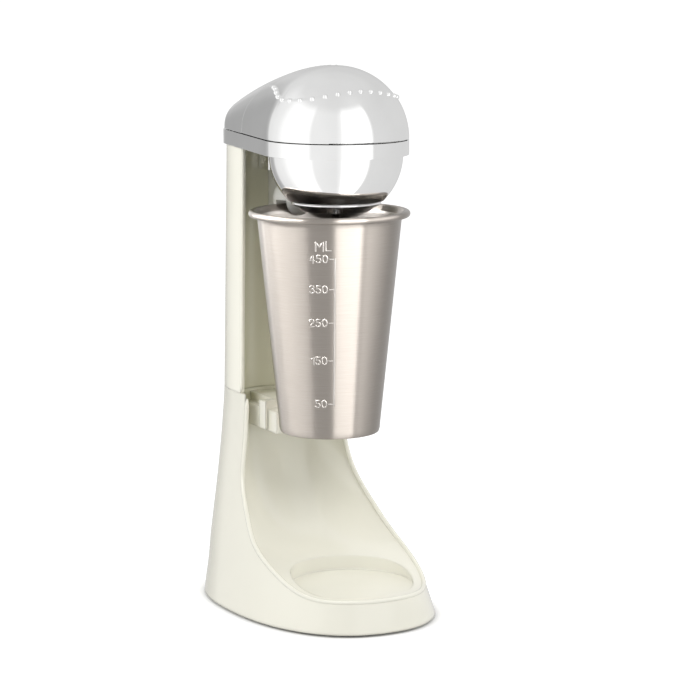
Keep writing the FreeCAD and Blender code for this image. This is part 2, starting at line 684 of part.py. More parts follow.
def make_cup_guide():
    """White hook in the column's channel: the cup's rim slides up behind its finger."""
    nose = primitive("Ellipsoid", "guide_nose", along="guide_y", up="guide_z",
                     Radius1="guide_half", Radius2="guide_half", Radius3="guide_long")
    nose.Angle1 = -90
    nose.Angle2 = 90
    nose.Angle3 = 360
    stem = box("guide_stem", ("-6", "guide_y + 6", "guide_z - 8"), ("6", "84 - 0.1", "neck_low - 0.1"))
    boss = round_bar("guide_boss", "0", "pin_y", "guide_z", "column_top - 0.1", "4.5")
    whole = boolean("Fuse", "guide_whole", nose, [stem, boss])
    slot_out = round_bar("guide_slot_out", "0", "cup_axis_y", "230", "slot_top", "slot_outer")
    slot_in = round_bar("guide_slot_in", "0", "cup_axis_y", "229", "slot_top + 1", "slot_inner")
    slot = boolean("Cut", "guide_slot", slot_out, [slot_in])
    bore = round_bar("guide_bore", "0", "pin_y", "240", "290", "pin_radius + hole_play")
    keep(boolean("Cut", "guide_done", whole, [slot, bore]), "cup_guide")


def make_cup_switch():
    """Push pin that the rim lifts, and the micro switch above it in the head."""
    turned("cup_switch_plunger", [
        ("0", "pin_low"), ("pin_radius - 0.6", "pin_low"), ("pin_radius", "pin_low + 0.6"),
        ("pin_radius", "column_top + head_wall + 0.3"), ("pin_radius + 1.4", "column_top + head_wall + 0.3"),
        ("pin_radius + 1.4", "column_top + head_wall + 1.5"), ("pin_radius", "column_top + head_wall + 1.5"),
        ("pin_radius", "pin_top"), ("0", "pin_top"),
    ], "pin_y")
    padded("cup_micro_switch", "YZ_Plane", [
        ("52", "296.3"), ("74", "296.3"), ("74", "302.7"), ("68", "302.7"), ("68", "305.3"), ("66", "305.3"),
        ("66", "302.7"), ("52", "302.7"),
    ], "-3.2", "3.2")


def make_motor():
    """Can motor on its bracket: stationary pieces."""
    turned("motor_can", [
        ("6", "can_low"), ("can_radius", "can_low"), ("can_radius", "can_high"),
        ("can_radius - can_wall", "can_high"), ("can_radius - can_wall", "can_low + can_wall"),
        ("6", "can_low + can_wall"),
    ])
    turned("motor_end_cap", [
        ("6", "can_high + 0.02"), ("can_radius", "can_high + 0.02"), ("can_radius", "can_high + 1.5"),
        ("10", "can_high + 1.5"), ("9", "can_high + 6"), ("6", "can_high + 6"),
    ])
    for name, low in (("lower_bush", "can_low - 3"), ("upper_bush", "can_high + 0.5")):
        turned(name, [
            ("shaft_radius + shaft_play", low), ("5.98", low), ("5.98", f"{low} + 5.4"),
            ("shaft_radius + shaft_play", f"{low} + 5.4"),
        ])
    magnets = []
    ring = Part.makeCylinder(size("can_radius - can_wall") - 0.02, 28, Vector(0, 0, 272))
    ring = ring.cut(Part.makeCylinder(size("armature_radius") + 0.6, 28, Vector(0, 0, 272)))
    for side in (-1, 1):
        half = Part.makeBox(30, 34, 40, Vector(2 if side > 0 else -32, -17, 268))
        magnets.append(ring.common(half))
    modelled("field_magnets", Part.makeCompound(magnets))
    holders = []
    for side in (-1, 1):
        holder = Part.makeBox(11, 6, 4.5, Vector(7.4 if side > 0 else -18.4, -3, 302.5))
        holders.append(holder)
    modelled("brush_holders", Part.makeCompound(holders))
    bracket = doc.addObject("PartDesign::Body", "motor_bracket")
    sketch = profile(bracket, "bracket_profile", "XZ_Plane", [
        ("can_radius + 0.02", "bracket_low"), ("38", "bracket_low"), ("38", "bracket_high"),
        ("can_radius + 2", "bracket_high"), ("can_radius + 2", "bracket_high + 5"),
        ("can_radius + 0.02", "bracket_high + 5"),
    ])
    turn = bracket.newObject("PartDesign::Revolution", "bracket_turn")
    turn.Profile = sketch
    turn.ReferenceAxis = (sketch, ["V_Axis"])
    turn.Angle = 360
    keep(bracket, "motor_bracket")
    grommets = []
    reach = size("grommet_circle")
    for quarter in range(4):
        angle = math.radians(45 + 90 * quarter)
        place = Vector(reach * math.cos(angle), reach * math.sin(angle), size("column_top + head_wall"))
        outer = Part.makeCylinder(size("grommet_radius"), size("bracket_low") - place.z, place)
        grommets.append(outer.cut(Part.makeCylinder(1.6, 10, place)))
    modelled("vibration_grommets", Part.makeCompound(grommets))


def make_rotor():
    """Everything that spins: armature, commutator, shaft, fan, coupling, rod and agitator."""
    turned("motor_armature", [
        ("shaft_radius", "276"), ("armature_radius", "276"), ("armature_radius", "297"), ("11", "299"),
        ("shaft_radius", "299"),
    ])
    turned("commutator", [
        ("shaft_radius", "300"), ("7", "300"), ("7", "307.4"), ("shaft_radius", "307.4"),
    ])
    turned("motor_shaft", [
        ("0", "shaft_low"), ("shaft_radius - 0.4", "shaft_low"), ("shaft_radius", "shaft_low + 0.4"),
        ("shaft_radius", "shaft_high"), ("0", "shaft_high"),
    ])
    fan = turned("cooling_fan", [
        ("shaft_radius", "317"), ("19", "317"), ("19", "318"), ("6", "318.5"), ("5", "324"),
        ("shaft_radius", "324"),
    ])
    blade = [("5.2", "-0.5"), ("18", "-3"), ("18", "-2"), ("5.2", "0.5")]
    patterned_blades(fan, "fan", blade, "317.5", "323", 9)
    turned("rod_coupling", [
        ("rod_radius", "coupling_low"), ("4.4", "coupling_low"), ("coupling_radius", "coupling_low + 2.5"),
        ("coupling_radius", "coupling_high"), ("shaft_radius", "coupling_high"),
        ("shaft_radius", "shaft_low"),
        ("0", "shaft_low"), ("0", "shaft_low - 1"), ("rod_radius", "shaft_low - 1"),
    ])
    turned("mixing_rod", [
        ("0", "rod_low"), ("rod_radius - 1", "rod_low"), ("rod_radius - 1", "rod_low + 5"),
        ("rod_radius", "rod_low + 5"), ("rod_radius", "shaft_low - 1"), ("0", "shaft_low - 1"),
    ])
    agitator = turned("agitator", [
        ("0", "agitator_low - 0.8"), ("4", "agitator_low - 0.8"), ("agitator_radius", "agitator_low + 0.6"),
        ("agitator_radius", "agitator_low + 1.8"), ("4.5", "agitator_low + 1.6"),
        ("4.5", "agitator_low + 5.8"), ("rod_radius - 1", "agitator_low + 5.8"),
        ("rod_radius - 1", "rod_low"), ("0", "rod_low"),
    ])
    patterned_blades(agitator, "agitator",
                     [("4", "-0.7"), ("agitator_radius - 1", "-0.7"),
                      ("agitator_radius - 1", "0.7"), ("4", "0.7")],
                     "agitator_low + 1", "agitator_low + 4", 6)


def make_cup():
    """Spun steel cup with a raised bottom and a rolled rim."""
    turned("mixing_cup", [
        ("0", "cup_low + cup_raise"), ("cup_foot - 7", "cup_low + cup_raise"),
        ("cup_foot - 4", "cup_low + 0.4"),
        ("cup_foot - 3", "cup_low"), ("cup_foot - 1.2", "cup_low"), ("cup_foot", "cup_low + 1.4"),
        ("cup_neck", "cup_neck_height"),
        ("cup_rim - 1.7", "cup_rim_height - 1.05357", "cup_rim + cup_bead", "cup_rim_height", "cup_bead"),
        ("cup_rim - 1.6", "cup_rim_height + 1.2"), ("cup_neck - cup_wall", "cup_neck_height"),
        ("cup_foot - cup_wall", "cup_low + 1.8"), ("cup_foot - 2", "cup_low + cup_wall"),
        ("cup_foot - 3", "cup_low + cup_wall + 0.2"), ("cup_foot - 6", "cup_low + cup_raise + cup_wall"),
        ("0", "cup_low + cup_raise + cup_wall"),
    ], "cup_axis_y")


def make_switch():
    """Three-way rocker switch in the back of the column."""
    level = "switch_height"
    case = box("switch_case", ("-10", "100", f"{level} - 13"), ("10", "116.1", f"{level} + 13"))
    flange = box("switch_flange", ("-12", "116.1", f"{level} - 15"), ("12", "117.3", f"{level} + 15"))
    joined = boolean("Fuse", "switch_joined", case, [flange])
    room = box("switch_room", ("-rocker_half_wide - 0.3", "104", f"{level} - 10.4"),
               ("rocker_half_wide + 0.3", "130", f"{level} + 10.4"))
    keep(boolean("Cut", "switch_done", joined, [room]), "switch_body")
    padded("switch_rocker", "YZ_Plane", [
        ("107.5", f"{level} - 2"), ("112", f"{level} - rocker_half_tall"),
        ("118.6", f"{level} - rocker_half_tall"),
        ("116.9", level), ("118.6", f"{level} + rocker_half_tall"), ("112", f"{level} + rocker_half_tall"),
        ("107.5", f"{level} + 2"),
    ], "-rocker_half_wide", "rocker_half_wide")


def cable(points, radius):
    """Round cable along a smooth path."""
    path = Part.BSplineCurve()
    path.interpolate(points)
    spine = Part.Wire(path.toShape())
    first = path.tangent(path.FirstParameter)[0]
    ring = Part.Wire(Part.makeCircle(radius, points[0], first))
    return spine.makePipeShell([ring], True, False)


def make_wiring():
    """Loom from the base up the column into the head, mains cord and its strain relief."""
    modelled("wiring_harness", cable([
        Vector(0, 92, 18), Vector(0, 97, 60), Vector(0, 100, 125), Vector(0, 100, 135), Vector(0, 92, 180),
        Vector(0, 91, 230), Vector(0, 96, 272), Vector(0, 100, 284), Vector(0, 100, 293), Vector(0, 92, 302),
    ], 2.2))
    height = size("cord_height")
    radius = size("cord_radius")
    modelled("power_cord", cable([
        Vector(0, 100, height), Vector(0, 118, height), Vector(0, 128, height - 3),
        Vector(0, 136, height - 9),
    ], radius))
    sleeve = Part.makeCylinder(radius + 2.4, 3, Vector(0, 113, height), Vector(0, 1, 0))
    sleeve = sleeve.fuse(Part.makeCone(radius + 4, radius + 2, 8, Vector(0, 116.9, height), Vector(0, 1, 0)))
    sleeve = sleeve.fuse(Part.makeCylinder(radius + 2.4, 2, Vector(0, 115.5, height), Vector(0, 1, 0)))
    lead = cable([
        Vector(0, 100, height), Vector(0, 118, height), Vector(0, 128, height - 3),
        Vector(0, 136, height - 9),
    ], radius + 0.02)
    modelled("strain_relief", sleeve.cut(lead))


def check_and_write():
    """Recompute, look at every object, then write one file for each sub-part."""
    doc.recompute()
    faults = []
    for item in doc.Objects:
        if "Invalid" in item.State or "Error" in item.State:
            faults.append(f"{item.Label}: {item.State}")
    for item in subparts:
        if item.Shape.isNull() or not item.Shape.isValid() or not item.Shape.Solids:
            faults.append(f"{item.Label}: bad shape")
    if faults:
        raise RuntimeError("; ".join(faults))
    os.makedirs("parts", exist_ok=True)
    for item in subparts:
        item.Shape.exportStep(f"parts/{item.Label}.step")


fill_sheet()
make_stand()
make_column()
make_cup_rest()
make_head()
make_bowl()
make_cup_guide()
make_cup_switch()
make_motor()
make_rotor()
make_cup()
make_switch()
make_wiring()
check_and_write()
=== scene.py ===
import json
import math

import bmesh
import bpy
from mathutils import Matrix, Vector

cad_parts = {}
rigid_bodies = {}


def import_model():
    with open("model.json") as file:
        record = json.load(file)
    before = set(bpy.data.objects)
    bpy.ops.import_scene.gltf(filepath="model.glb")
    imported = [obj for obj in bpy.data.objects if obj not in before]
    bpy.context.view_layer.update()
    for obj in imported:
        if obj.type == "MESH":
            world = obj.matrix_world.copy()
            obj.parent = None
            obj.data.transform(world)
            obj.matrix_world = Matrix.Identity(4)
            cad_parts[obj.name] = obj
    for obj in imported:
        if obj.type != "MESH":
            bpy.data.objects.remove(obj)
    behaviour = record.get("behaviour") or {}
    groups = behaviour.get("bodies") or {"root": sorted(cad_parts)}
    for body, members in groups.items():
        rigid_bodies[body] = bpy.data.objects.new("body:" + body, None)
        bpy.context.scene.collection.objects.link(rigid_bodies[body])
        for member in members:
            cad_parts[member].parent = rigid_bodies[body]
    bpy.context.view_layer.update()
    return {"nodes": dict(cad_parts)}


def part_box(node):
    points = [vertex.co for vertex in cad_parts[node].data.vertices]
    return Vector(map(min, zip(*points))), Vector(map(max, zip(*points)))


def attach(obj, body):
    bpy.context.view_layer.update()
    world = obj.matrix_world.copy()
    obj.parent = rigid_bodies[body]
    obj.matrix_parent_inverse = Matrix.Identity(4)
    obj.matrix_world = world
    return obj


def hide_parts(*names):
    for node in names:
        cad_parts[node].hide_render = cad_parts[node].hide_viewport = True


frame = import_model()
scene = bpy.context.scene
scene.view_settings.view_transform = "Standard"
nodes = frame["nodes"]

MM = 0.001

# camera: bearing and reach from the spindle, height over the table, tilt down and turn aside
VIEW_BEARING = math.radians(-27)
VIEW_DISTANCE = 1.646
VIEW_HEIGHT = 0.433
VIEW_PITCH = math.radians(9.22)
VIEW_YAW = math.radians(0.30)
LENS = 138.0

rod_low, rod_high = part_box("mixing_rod")
SPINDLE = Vector(((rod_low.x + rod_high.x) / 2, (rod_low.y + rod_high.y) / 2, 0))
cup_low, cup_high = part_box("mixing_cup")
CUP_AXIS = Vector(((cup_low.x + cup_high.x) / 2, (cup_low.y + cup_high.y) / 2, 0))


# ---------------------------------------------------------------- materials

class Shader:
    """Small helper that builds a material from nodes."""

    def __init__(self, name):
        self.material = bpy.data.materials.new(name)
        self.material.use_nodes = True
        self.tree = self.material.node_tree
        self.tree.nodes.clear()
        self.out = self.add("ShaderNodeOutputMaterial")
        self.surface = self.add("ShaderNodeBsdfPrincipled")
        self.join(self.surface, "BSDF", self.out, "Surface")
        self.place = self.add("ShaderNodeTexCoord")

    def add(self, kind, **values):
        node = self.tree.nodes.new(kind)
        for key, value in values.items():
            setattr(node, key, value)
        return node

    def join(self, a, a_socket, b, b_socket):
        self.tree.links.new(a.outputs[a_socket], b.inputs[b_socket])

    def set(self, node, **values):
        for key, value in values.items():
            node.inputs[key.replace("_", " ")].default_value = value
        return node

    def noise(self, scale, detail=3.0, rough=0.5, stretch=(1, 1, 1)):
        """Noise texture over the object's own coordinates."""
        mapping = self.add("ShaderNodeMapping")
        mapping.inputs["Scale"].default_value = stretch
        self.join(self.place, "Object", mapping, "Vector")
        noise = self.add("ShaderNodeTexNoise")
        self.set(noise, Scale=scale, Detail=detail, Roughness=rough)
        self.join(mapping, "Vector", noise, "Vector")
        return noise

    def mix(self, low, high, source, source_socket="Fac", start=0.3, end=0.7):
        """Colour that goes from low to high with a source value."""
        ramp = self.add("ShaderNodeValToRGB")
        ramp.color_ramp.elements[0].position = start
        ramp.color_ramp.elements[1].position = end
        ramp.color_ramp.elements[0].color = (*low, 1)
        ramp.color_ramp.elements[1].color = (*high, 1)
        self.join(source, source_socket, ramp, "Fac")
        return ramp

    def spread(self, source, low, high, source_socket="Fac"):
        """Maps a 0..1 source value to low..high."""
        node = self.add("ShaderNodeMapRange")
        self.set(node, To_Min=low, To_Max=high)
        self.join(source, source_socket, node, "Value")
        return node

    def slope(self, source, socket, start, end, low=0.0, high=1.0):
        """Smooth step from low to high while a source value goes from start to end."""
        node = self.add("ShaderNodeMapRange", interpolation_type="SMOOTHSTEP")
        self.set(node, From_Min=start, From_Max=end, To_Min=low, To_Max=high)
        self.join(source, socket, node, "Value")
        return node

    def product(self, a, a_socket, b, b_socket):
        """One value times another."""
        node = self.add("ShaderNodeMath", operation="MULTIPLY")
        self.join(a, a_socket, node, 0)
        self.join(b, b_socket, node, 1)
        return node

    def channel_mask(self):
        """1 inside the column's front channel, 0 elsewhere: where the stand plastic's painted shade goes."""
        split = self.add("ShaderNodeSeparateXYZ")
        self.join(self.place, "Object", split, "Vector")
        flat = self.add("ShaderNodeMath", operation="ABSOLUTE")
        self.join(split, "X", flat, 0)
        between_ribs = self.slope(flat, "Value", 0.0302, 0.0312, 1.0, 0.0)
        behind_edge = self.slope(split, "Y", 0.034, 0.046)
        before_back = self.slope(split, "Y", 0.053, 0.056, 1.0, 0.0)
        above_scoop = self.slope(split, "Z", 0.100, 0.114)
        sides = self.product(between_ribs, "Result", behind_edge, "Result")
        ends = self.product(before_back, "Result", above_scoop, "Result")
        return self.product(sides, "Value", ends, "Value")

    def bump(self, source, height, strength=1.0, rounding=0.0, source_socket="Fac"):
        """Bump from a source value, over edges that look rounded by the rounding radius."""
        bump = self.add("ShaderNodeBump")
        self.set(bump, Strength=strength, Distance=height)
        self.join(source, source_socket, bump, "Height")
        if rounding:
            bevel = self.add("ShaderNodeBevel", samples=6)
            self.set(bevel, Radius=rounding)
            self.join(bevel, "Normal", bump, "Normal")
        self.join(bump, "Normal", self.surface, "Normal")
        return bump


def gloss_plastic(name, dark, light, rough, rounding, coat=0.3, painted_shade_tone=None):
    """Moulded glossy plastic with a faint flow pattern and an uneven polish; when a shade tone is given,
    painted shade darkens the column's front channel.
    """
    s = Shader(name)
    cloud = s.noise(18, 3)
    colour = s.mix(dark, light, cloud)
    if painted_shade_tone:
        # painted shade: the colour is multiplied down inside the column's front channel, standing in for the
        # shadow under the head
        shaded_colour = s.add("ShaderNodeMixRGB", blend_type="MULTIPLY")
        shaded_colour.inputs["Color2"].default_value = (*painted_shade_tone, 1)
        s.join(colour, "Color", shaded_colour, "Color1")
        s.join(s.channel_mask(), "Value", shaded_colour, "Fac")
        colour = shaded_colour
    s.join(colour, "Color", s.surface, "Base Color")
    polish = s.noise(55, 4)
    s.join(s.spread(polish, rough * 0.8, rough * 1.25), "Result", s.surface, "Roughness")
    s.set(s.surface, IOR=1.5, Coat_Weight=coat, Coat_Roughness=0.06)
    grain = s.noise(420, 3)
    s.bump(grain, 0.00002, 0.35, rounding)
    return s.material


def bright_metal(name, dark, light, rough, rounding, wave=0.00003):
    """Plated or polished metal with faint polishing waves."""
    s = Shader(name)
    s.set(s.surface, Metallic=1.0)
    cloud = s.noise(25, 3)
    s.join(s.mix(dark, light, cloud), "Color", s.surface, "Base Color")
    haze = s.noise(90, 5)
    s.join(s.spread(haze, rough * 0.6, rough * 1.5), "Result", s.surface, "Roughness")
    wobble = s.noise(35, 2)
    s.bump(wobble, wave, 0.25, rounding)
    return s.material


def brushed_steel(name, axis_y):
    """Spun steel: very fine lines round the cup, broken into long strokes."""
    s = Shader(name)
    s.set(s.surface, Metallic=1.0, Anisotropic=0.97)
    around = s.add("ShaderNodeSeparateXYZ")
    s.join(s.place, "Object", around, "Vector")
    shift = s.add("ShaderNodeMath", operation="SUBTRACT")
    s.join(around, "Y", shift, 0)
    shift.inputs[1].default_value = axis_y
    bearing = s.add("ShaderNodeMath", operation="ARCTAN2")
    s.join(shift, "Value", bearing, 0)
    s.join(around, "X", bearing, 1)
    wrapped = s.add("ShaderNodeCombineXYZ")
    s.join(bearing, "Value", wrapped, "X")
    s.join(around, "Z", wrapped, "Y")

    def strokes(along, up, detail):
        stretch = s.add("ShaderNodeMapping")
        stretch.inputs["Scale"].default_value = (along, up, 1)
        s.join(wrapped, "Vector", stretch, "Vector")
        lines = s.add("ShaderNodeTexNoise")
        s.set(lines, Scale=1.0, Detail=detail, Roughness=0.6)
        s.join(stretch, "Vector", lines, "Vector")
        return lines

    fine = strokes(3.0, 9000, 2.0)
    broad = strokes(1.5, 2600, 2.0)
    patch = strokes(1.2, 45, 2.0)
    both = s.add("ShaderNodeMath", operation="ADD")
    s.join(fine, "Fac", both, 0)
    s.join(broad, "Fac", both, 1)
    half = s.add("ShaderNodeMath", operation="MULTIPLY")
    s.join(both, "Value", half, 0)
    half.inputs[1].default_value = 0.5
    tint = s.mix((0.304, 0.275, 0.248), (0.364, 0.333, 0.303), half, "Value", 0.3, 0.7)
    s.join(tint, "Color", s.surface, "Base Color")
    s.join(s.spread(patch, 0.30, 0.34), "Result", s.surface, "Roughness")
    tangent = s.add("ShaderNodeTangent", direction_type="RADIAL", axis="Z")
    s.join(tangent, "Tangent", s.surface, "Tangent")
    s.set(s.surface, Anisotropic_Rotation=0.25)
    s.bump(half, 0.000004, 0.30, 0.0, "Value")
    return s.material


CREAM_DARK = (0.775, 0.76, 0.665)
CREAM_LIGHT = (0.80, 0.785, 0.69)
# tone of the painted shade multiplied into the column's front channel
CHANNEL_PAINTED_SHADE = (0.66, 0.66, 0.56)
mats = {
    "stand_plastic": gloss_plastic("ivory_gloss", CREAM_DARK, CREAM_LIGHT, 0.16, 0.0022, 0.5, CHANNEL_PAINTED_SHADE),
    "base_plastic": gloss_plastic("base_under", (0.08, 0.08, 0.07), (0.11, 0.11, 0.10), 0.45, 0.0004, 0.0),
    "chrome": bright_metal("chrome_plate", (0.86, 0.86, 0.855), (0.92, 0.92, 0.915), 0.05, 0.0004),
    "cup_steel": brushed_steel("cup_brushed", CUP_AXIS.y),
    "cup_inside": bright_metal("cup_satin_inside", (0.50, 0.47, 0.44), (0.58, 0.55, 0.52), 0.32, 0.0,
                               0.00001),
    "mark_steel": bright_metal("stamped_marks", (0.40, 0.375, 0.35), (0.46, 0.435, 0.41), 0.36, 0.0,
                               0.00001),
    "rod_steel": bright_metal("rod_polished", (0.62, 0.62, 0.60), (0.74, 0.73, 0.71), 0.16, 0.0003),
    "white_plastic": gloss_plastic("hook_white", (0.66, 0.66, 0.62), (0.72, 0.72, 0.68), 0.32, 0.0005, 0.1),
    "rubber": gloss_plastic("foot_rubber", (0.025, 0.025, 0.025), (0.045, 0.045, 0.045), 0.75, 0.0004, 0.0),
    "zinc_steel": bright_metal("zinc_screws", (0.45, 0.46, 0.47), (0.60, 0.61, 0.62), 0.32, 0.0002),
    "dark_plastic": gloss_plastic("dark_moulded", (0.02, 0.02, 0.022), (0.04, 0.04, 0.042), 0.4, 0.0003, 0.0),
    "cable_jacket": gloss_plastic("cord_jacket", (0.52, 0.51, 0.45), (0.58, 0.57, 0.50), 0.5, 0.0003, 0.0),
    "bronze": bright_metal("bush_bronze", (0.42, 0.27, 0.12), (0.52, 0.34, 0.16), 0.35, 0.0),
    "copper": bright_metal("wound_copper", (0.60, 0.26, 0.13), (0.74, 0.36, 0.2), 0.3, 0.0),
    "ferrite": gloss_plastic("magnet_ferrite", (0.03, 0.03, 0.035), (0.06, 0.06, 0.065), 0.6, 0.0, 0.0),
}
for node in nodes.values():
    for entry in node.material_slots:
        if entry.material and entry.material.name.split(".")[0] in mats:
            entry.material = mats[entry.material.name.split(".")[0]]


# ---------------------------------------------------------------- mesh helpers

def make_piece(name, points, faces, slot, body, stands_for=()):
    """Smooth mesh object in the row frame that rides on a body."""
    mesh = bpy.data.meshes.new(name)
    mesh.from_pydata(points, [], faces)
    mesh.validate()
    shape = bmesh.new()
    shape.from_mesh(mesh)
    bmesh.ops.remove_doubles(shape, verts=shape.verts, dist=1e-7)
    bmesh.ops.recalc_face_normals(shape, faces=shape.faces)
    shape.to_mesh(mesh)
    shape.free()
    mesh.polygons.foreach_set("use_smooth", [True] * len(mesh.polygons))
    mesh.materials.append(mats[slot])
    item = bpy.data.objects.new(name, mesh)
    scene.collection.objects.link(item)
    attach(item, body)
    if stands_for:
        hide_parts(*stands_for)
    return item


def grid(rows, closed):
    """Points and quads of a grid of rows; closed joins each row's end to its start."""
    points = [point for row in rows for point in row]
    width = len(rows[0])
    faces = []
    for j in range(len(rows) - 1):
        for i in range(width if closed else width - 1):
            k = (i + 1) % width
            faces.append((j * width + i, j * width + k, (j + 1) * width + k, (j + 1) * width + i))
    return points, faces


def rounded(profile, radius_list, steps=6):
    """Profile with chosen corners rounded by arcs, as (r, z) points in mm."""
    result = []
    for index, (r, z) in enumerate(profile):
        radius = radius_list.get(index, 0)
        if not radius:
            result.append((r, z))
            continue
        here = Vector((r, z))
        before = Vector(profile[index - 1]) - here
        after = Vector(profile[(index + 1) % len(profile)]) - here
        reach = min(radius, before.length * 0.45, after.length * 0.45)
        a = here + before.normalized() * reach
        b = here + after.normalized() * reach
        for step in range(steps + 1):
            t = step / steps
            p = a * (1 - t) ** 2 + here * 2 * t * (1 - t) + b * t * t
            result.append((p.x, p.y))
    return result


def lathe(name, profile, centre, slot, body, stands_for=(), count=256):
    """Turned piece from a closed (r, z) profile in mm round an upright axis."""
    rows = []
    for r, z in profile + [profile[0]]:
        row = []
        for step in range(count):
            angle = 2 * math.pi * step / count
            row.append((centre.x + r * MM * math.cos(angle), centre.y + r * MM * math.sin(angle), z * MM))
        rows.append(row)
    points, faces = grid(rows, True)
    return make_piece(name, points, faces, slot, body, stands_for)


def arc_points(centre, radius, start, end, steps):
    """Points along an arc, as (r, z) in mm, with angles in degrees."""
    result = []
    for step in range(steps + 1):
        angle = math.radians(start + (end - start) * step / steps)
        result.append((centre[0] + radius * math.cos(angle), centre[1] + radius * math.sin(angle)))
    return result


# ---------------------------------------------------------------- head

# sizes in mm from the spindle and over the seam, the same as the CAD head's
SEAM = 297.5
HEAD_R = 45.0
TAPER = math.radians(9.4)
ARM_END = 117.5
ARM_ROUND = 18.0
STUD_COUNT = 11
STUD_R = 1.6
STUD_END = 137.5
STUD_SIDE = 80
STEP_DEPTH = 0.4
STEP_END = 150


def end_shrink(along, power):
    """How much the arm's section has shrunk towards its rounded back end."""
    into = (along - (ARM_END - ARM_ROUND)) / ARM_ROUND
    if into <= 0:
        return 1.0
    return max(1 - into ** power, 0) ** (1 / power)


def head_power(along):
    """Roundness of the head's section: round at the dome, squarer towards the back."""
    return 2 + 0.6 * min(max(along, 0) / 90, 1)


def head_half(along):
    """Half width of the head at a distance behind the spindle."""
    if along < HEAD_R * math.sin(TAPER):
        return math.sqrt(max(HEAD_R ** 2 - along * along, 0))
    return (HEAD_R / math.cos(TAPER) - along * math.tan(TAPER)) * end_shrink(along, 2.4)


def head_rise(along):
    """Height of the ridge over the seam."""
    if along < 0:
        return math.sqrt(max(HEAD_R ** 2 - along * along, 0))
    return (HEAD_R - 7 * (along / 46) ** 1.6) * end_shrink(along, 2.0)


def stud_rise(bearing):
    """Height of the stud line over the seam at a bearing from the front, in degrees."""
    if bearing < STUD_SIDE:
        phase = bearing * 90 / STUD_SIDE
    else:
        phase = 90 + (bearing - STUD_SIDE) * 90 / (STUD_END - STUD_SIDE)
    return 27.5 + 3 * math.cos(math.radians(2 * phase))


def head_point(along, angle, inset=0.0):
    """Place on the head's surface: along the arm, and round its section from right (0) to left (pi)."""
    power = head_power(along)
    half = max(head_half(along) - inset, 0.01)
    rise = max(head_rise(along) - inset, 0.01)
    across = math.copysign(abs(math.cos(angle)) ** (2 / power), math.cos(angle)) * half
    up = abs(math.sin(angle)) ** (2 / power) * rise
    return Vector((across, along, up))


def stud_step(p):
    """How far the surface above the stud line sits back from the surface below it."""
    bearing = abs(math.degrees(math.atan2(p.x, -p.y)))
    if bearing > STEP_END:
        return STEP_DEPTH
    over = p.z - stud_rise(min(bearing, STUD_END))
    share = min(max((over + 0.2) / 1.6, 0), 1)
    fade = min(max((STEP_END - bearing) / 12, 0), 1)
    return STEP_DEPTH * (share * share * (3 - 2 * share)) * fade


def head_places():
    """Places of the sections, close together where the surface turns quickly."""
    dome_steps, arm_steps, end_steps = 110, 120, 30
    round_from = ARM_END - ARM_ROUND
    places = [-HEAD_R * math.cos(math.radians(90 * step / dome_steps)) for step in range(dome_steps)]
    places += [round_from * step / arm_steps for step in range(arm_steps)]
    for step in range(end_steps + 1):
        places.append(round_from + ARM_ROUND * math.sin(math.radians(90 * step / end_steps)))
    return places


def build_head():
    """Dome and arm as one skin with a thin turned-under edge at the seam."""
    count = 220
    tucked, turned_in, edge_lift = 1.2, 0.25, Vector((0, 0, 0.35))
    rows = []
    for along in head_places():
        centre = Vector((0, max(along, 0), 0))
        row = [head_point(along, 0, tucked), head_point(along, 0, turned_in)]
        for step in range(count + 1):
            p = head_point(along, math.pi * step / count)
            if step in (0, count):
                p = p + edge_lift
            row.append(p - (p - centre).normalized() * stud_step(p))
        row += [head_point(along, math.pi, turned_in), head_point(along, math.pi, tucked)]
        rows.append([SPINDLE + Vector((p.x, p.y, p.z + SEAM)) * MM for p in row])
    points, faces = grid(rows, False)
    return make_piece("head_shell", points, faces, "chrome", "stand", ("head_cover",))


def head_out(p):
    """Outward direction of the head's surface at a place on it."""
    def outside(q):
        if q.y < 0:
            return q.length / HEAD_R
        power = head_power(q.y)
        return (abs(q.x) / head_half(q.y)) ** power + (max(q.z, 0) / head_rise(q.y)) ** power
    d = 0.01
    x, y, z = Vector((d, 0, 0)), Vector((0, d, 0)), Vector((0, 0, d))
    return Vector((outside(p + x) - outside(p - x), outside(p + y) - outside(p - y),
                   outside(p + z) - outside(p - z))).normalized()


def build_studs():
    """Row of pearl studs along the dome, each with a soft foot."""
    points, faces = [], []
    around = 28
    for step in range(-STUD_COUNT, STUD_COUNT + 1):
        bearing = abs(step) * STUD_END / STUD_COUNT
        rise = stud_rise(bearing)
        flat = math.sqrt(HEAD_R ** 2 - rise * rise)
        turn = math.radians(bearing)
        across, along = flat * math.sin(turn), -flat * math.cos(turn)
        if along > 0:
            power = head_power(along)
            across = head_half(along) * max(1 - (rise / head_rise(along)) ** power, 0) ** (1 / power)
        p = Vector((math.copysign(across, step) if step else 0, along, rise))
        out = head_out(p)
        side = out.cross(Vector((0, 0, 1))).normalized()
        up = side.cross(out)
        rows = []
        foot = [(2.05, -0.55), (1.78, -0.2)]
        ball = [(STUD_R * math.cos(math.radians(a)), STUD_R * math.sin(math.radians(a)) - 0.02)
                for a in range(6, 90, 7)]
        for r, h in foot + ball + [(0.001, STUD_R - 0.02)]:
            row = []
            for k in range(around):
                a = 2 * math.pi * k / around
                q = p + out * h + side * (r * math.cos(a)) + up * (r * math.sin(a))
                row.append(SPINDLE + Vector((q.x, q.y, q.z + SEAM)) * MM)
            rows.append(row)
        more, quads = grid(rows, True)
        base = len(points)
        points += more
        faces += [tuple(v + base for v in quad) for quad in quads]
    return make_piece("head_stud_row", points, faces, "chrome", "stand", ("head_studs",))


build_head()
build_studs()

# ---------------------------------------------------------------- bowl

BOWL_R = 41.4
BOWL_Z = 288.5
BOWL_WALL = 1.6


